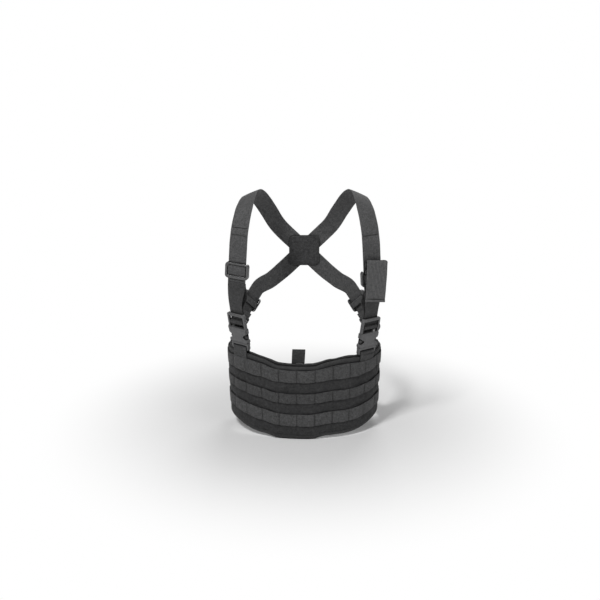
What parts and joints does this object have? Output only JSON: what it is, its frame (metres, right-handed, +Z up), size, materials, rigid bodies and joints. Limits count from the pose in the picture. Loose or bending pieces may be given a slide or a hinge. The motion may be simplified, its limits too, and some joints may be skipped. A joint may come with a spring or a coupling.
{
  "type": "chest rig harness vest",
  "caption": "Low chest panel with rows of webbing, carried by crossed shoulder straps with side-release buckles and strap sliders, closed by a buckled waist belt.",
  "frame": {"origin": "middle of the bounding box's bottom, level with the panel's lowest edge", "axes": "+Z up, -Y the wearer's front, +X the wearer's left"},
  "size_m": [0.3362, 0.2338, 0.5157],
  "materials": {
    "face_fabric": "matte woven nylon",
    "webbing": "matte nylon webbing with a fine rib",
    "liner_fabric": "matte mesh and pile",
    "foam": "closed-cell foam sheet",
    "elastic": "ribbed elastic",
    "buckle_plastic": "satin moulded acetal"
  },
  "bodies": {
    "vest": {"buckle_plug_l": "buckle_plastic", "buckle_plug_r": "buckle_plastic", "buckle_tab_l": "webbing", "buckle_tab_r": "webbing", "cross_patch_inner": "webbing", "cross_patch_outer": "webbing", "edge_binding_bottom": "face_fabric", "edge_binding_end_l": "face_fabric", "edge_binding_end_r": "face_fabric", "edge_binding_top": "face_fabric", "lower_strap_l": "webbing", "lower_strap_r": "webbing", "panel_face": "face_fabric", "panel_foam": "foam", "panel_liner": "liner_fabric", "pocket_hook_tape": "liner_fabric", "pocket_loop_tape": "liner_fabric", "pull_tab_base": "webbing", "rear_ring_l": "buckle_plastic", "rear_ring_r": "buckle_plastic", "ring_tab_l": "webbing", "ring_tab_r": "webbing", "shoulder_strap_l": "webbing", "shoulder_strap_r": "webbing", "waist_plug": "buckle_plastic", "waist_strap_l": "webbing", "waist_strap_r": "webbing", "webbing_row_bottom": "webbing", "webbing_row_middle": "webbing", "webbing_row_top": "webbing"},
    "socket_left": {"buckle_socket_l": "buckle_plastic", "strap_tail_l": "webbing"},
    "socket_right": {"buckle_socket_r": "buckle_plastic", "strap_tail_r": "webbing"},
    "socket_waist": {"waist_socket": "buckle_plastic"},
    "latch_left_a": {"latch_arm_l_a": "buckle_plastic"},
    "latch_left_b": {"latch_arm_l_b": "buckle_plastic"},
    "latch_right_a": {"latch_arm_r_a": "buckle_plastic"},
    "latch_right_b": {"latch_arm_r_b": "buckle_plastic"},
    "latch_waist_a": {"waist_latch_arm_a": "buckle_plastic"},
    "latch_waist_b": {"waist_latch_arm_b": "buckle_plastic"},
    "slider_front_left": {"slider_front_l": "buckle_plastic", "slider_loop_l": "webbing", "cover_loop": "elastic"},
    "slider_front_right": {"slider_front_r": "buckle_plastic", "slider_loop_r": "webbing"},
    "slider_rear_left": {"slider_rear_l": "buckle_plastic", "slider_loop_rear_l": "webbing"},
    "slider_rear_right": {"slider_rear_r": "buckle_plastic", "slider_loop_rear_r": "webbing"},
    "cover": {"cover_flap": "elastic", "cover_hem": "elastic"},
    "pull_tab": {"pull_tab": "webbing"}
  },
  "joints": [
    {"name": "buckle_release_left", "type": "slide", "parent": "vest", "child": "socket_left", "axis": [0.1235, -0.089, 0.9883], "range_m": [0, 0.03], "deforming": ["latch_arm_l_a", "latch_arm_l_b", "lower_strap_l"]},
    {"name": "latch_squeeze_left_a", "type": "hinge", "parent": "vest", "child": "latch_left_a", "pos_m": [0.13972, -0.06113, 0.19177], "axis": [0.6375, -0.7562, -0.1477], "range_deg": [0, 12]},
    {"name": "latch_squeeze_left_b", "type": "hinge", "parent": "vest", "child": "latch_left_b", "pos_m": [0.11949, -0.07838, 0.19275], "axis": [0.6375, -0.7562, -0.1477], "range_deg": [-12, 0]},
    {"name": "buckle_release_right", "type": "slide", "parent": "vest", "child": "socket_right", "axis": [-0.1235, -0.089, 0.9883], "range_m": [0, 0.03], "deforming": ["latch_arm_r_a", "latch_arm_r_b", "lower_strap_r"]},
    {"name": "latch_squeeze_right_a", "type": "hinge", "parent": "vest", "child": "latch_right_a", "pos_m": [-0.12494, -0.07523, 0.20166], "axis": [-0.6708, -0.7265, -0.1492], "range_deg": [0, 12]},
    {"name": "latch_squeeze_right_b", "type": "hinge", "parent": "vest", "child": "latch_right_b", "pos_m": [-0.14439, -0.05711, 0.20086], "axis": [-0.6708, -0.7265, -0.1492], "range_deg": [-12, 0]},
    {"name": "buckle_release_waist", "type": "slide", "parent": "vest", "child": "socket_waist", "axis": [-1, 0, 0], "range_m": [0, 0.03], "deforming": ["waist_latch_arm_a", "waist_latch_arm_b", "waist_strap_r"]},
    {"name": "latch_squeeze_waist_a", "type": "hinge", "parent": "vest", "child": "latch_waist_a", "pos_m": [0.02898, 0.09241, 0.05146], "axis": [0, 1, 0], "range_deg": [0, 12]},
    {"name": "latch_squeeze_waist_b", "type": "hinge", "parent": "vest", "child": "latch_waist_b", "pos_m": [0.02898, 0.09241, 0.07806], "axis": [0, 1, 0], "range_deg": [-12, 0]},
    {"name": "strap_adjust_front_left", "type": "slide", "parent": "vest", "child": "slider_front_left", "axis": [-0.0647, -0.0938, 0.9935], "range_m": [-0.005, 0.03], "stiffness_N_per_m": 120},
    {"name": "strap_adjust_rear_left", "type": "slide", "parent": "vest", "child": "slider_rear_left", "axis": [-0.5115, 0.4233, 0.7478], "range_m": [-0.012, 0.012], "stiffness_N_per_m": 120},
    {"name": "strap_adjust_front_right", "type": "slide", "parent": "vest", "child": "slider_front_right", "axis": [0.0671, -0.094, 0.9933], "range_m": [-0.005, 0.03], "stiffness_N_per_m": 120},
    {"name": "strap_adjust_rear_right", "type": "slide", "parent": "vest", "child": "slider_rear_right", "axis": [0.5101, 0.4249, 0.7478], "range_m": [-0.012, 0.012], "stiffness_N_per_m": 120},
    {"name": "cover_fold", "type": "hinge", "parent": "slider_front_left", "child": "cover", "pos_m": [0.14045, -0.10471, 0.38421], "axis": [-0.9501, -0.2987, -0.0901], "range_deg": [0, 100]},
    {"name": "pull_tab_fold", "type": "hinge", "parent": "vest", "child": "pull_tab", "pos_m": [-0.01453, -0.10417, 0.16717], "axis": [0.9983, -0.0575, 0], "range_deg": [-30, 60]}
  ],
  "couplings": [
    {"joint": "latch_squeeze_left_b", "follows": "latch_squeeze_left_a", "ratio": -1},
    {"joint": "latch_squeeze_right_b", "follows": "latch_squeeze_right_a", "ratio": -1},
    {"joint": "latch_squeeze_waist_b", "follows": "latch_squeeze_waist_a", "ratio": -1}
  ]
}
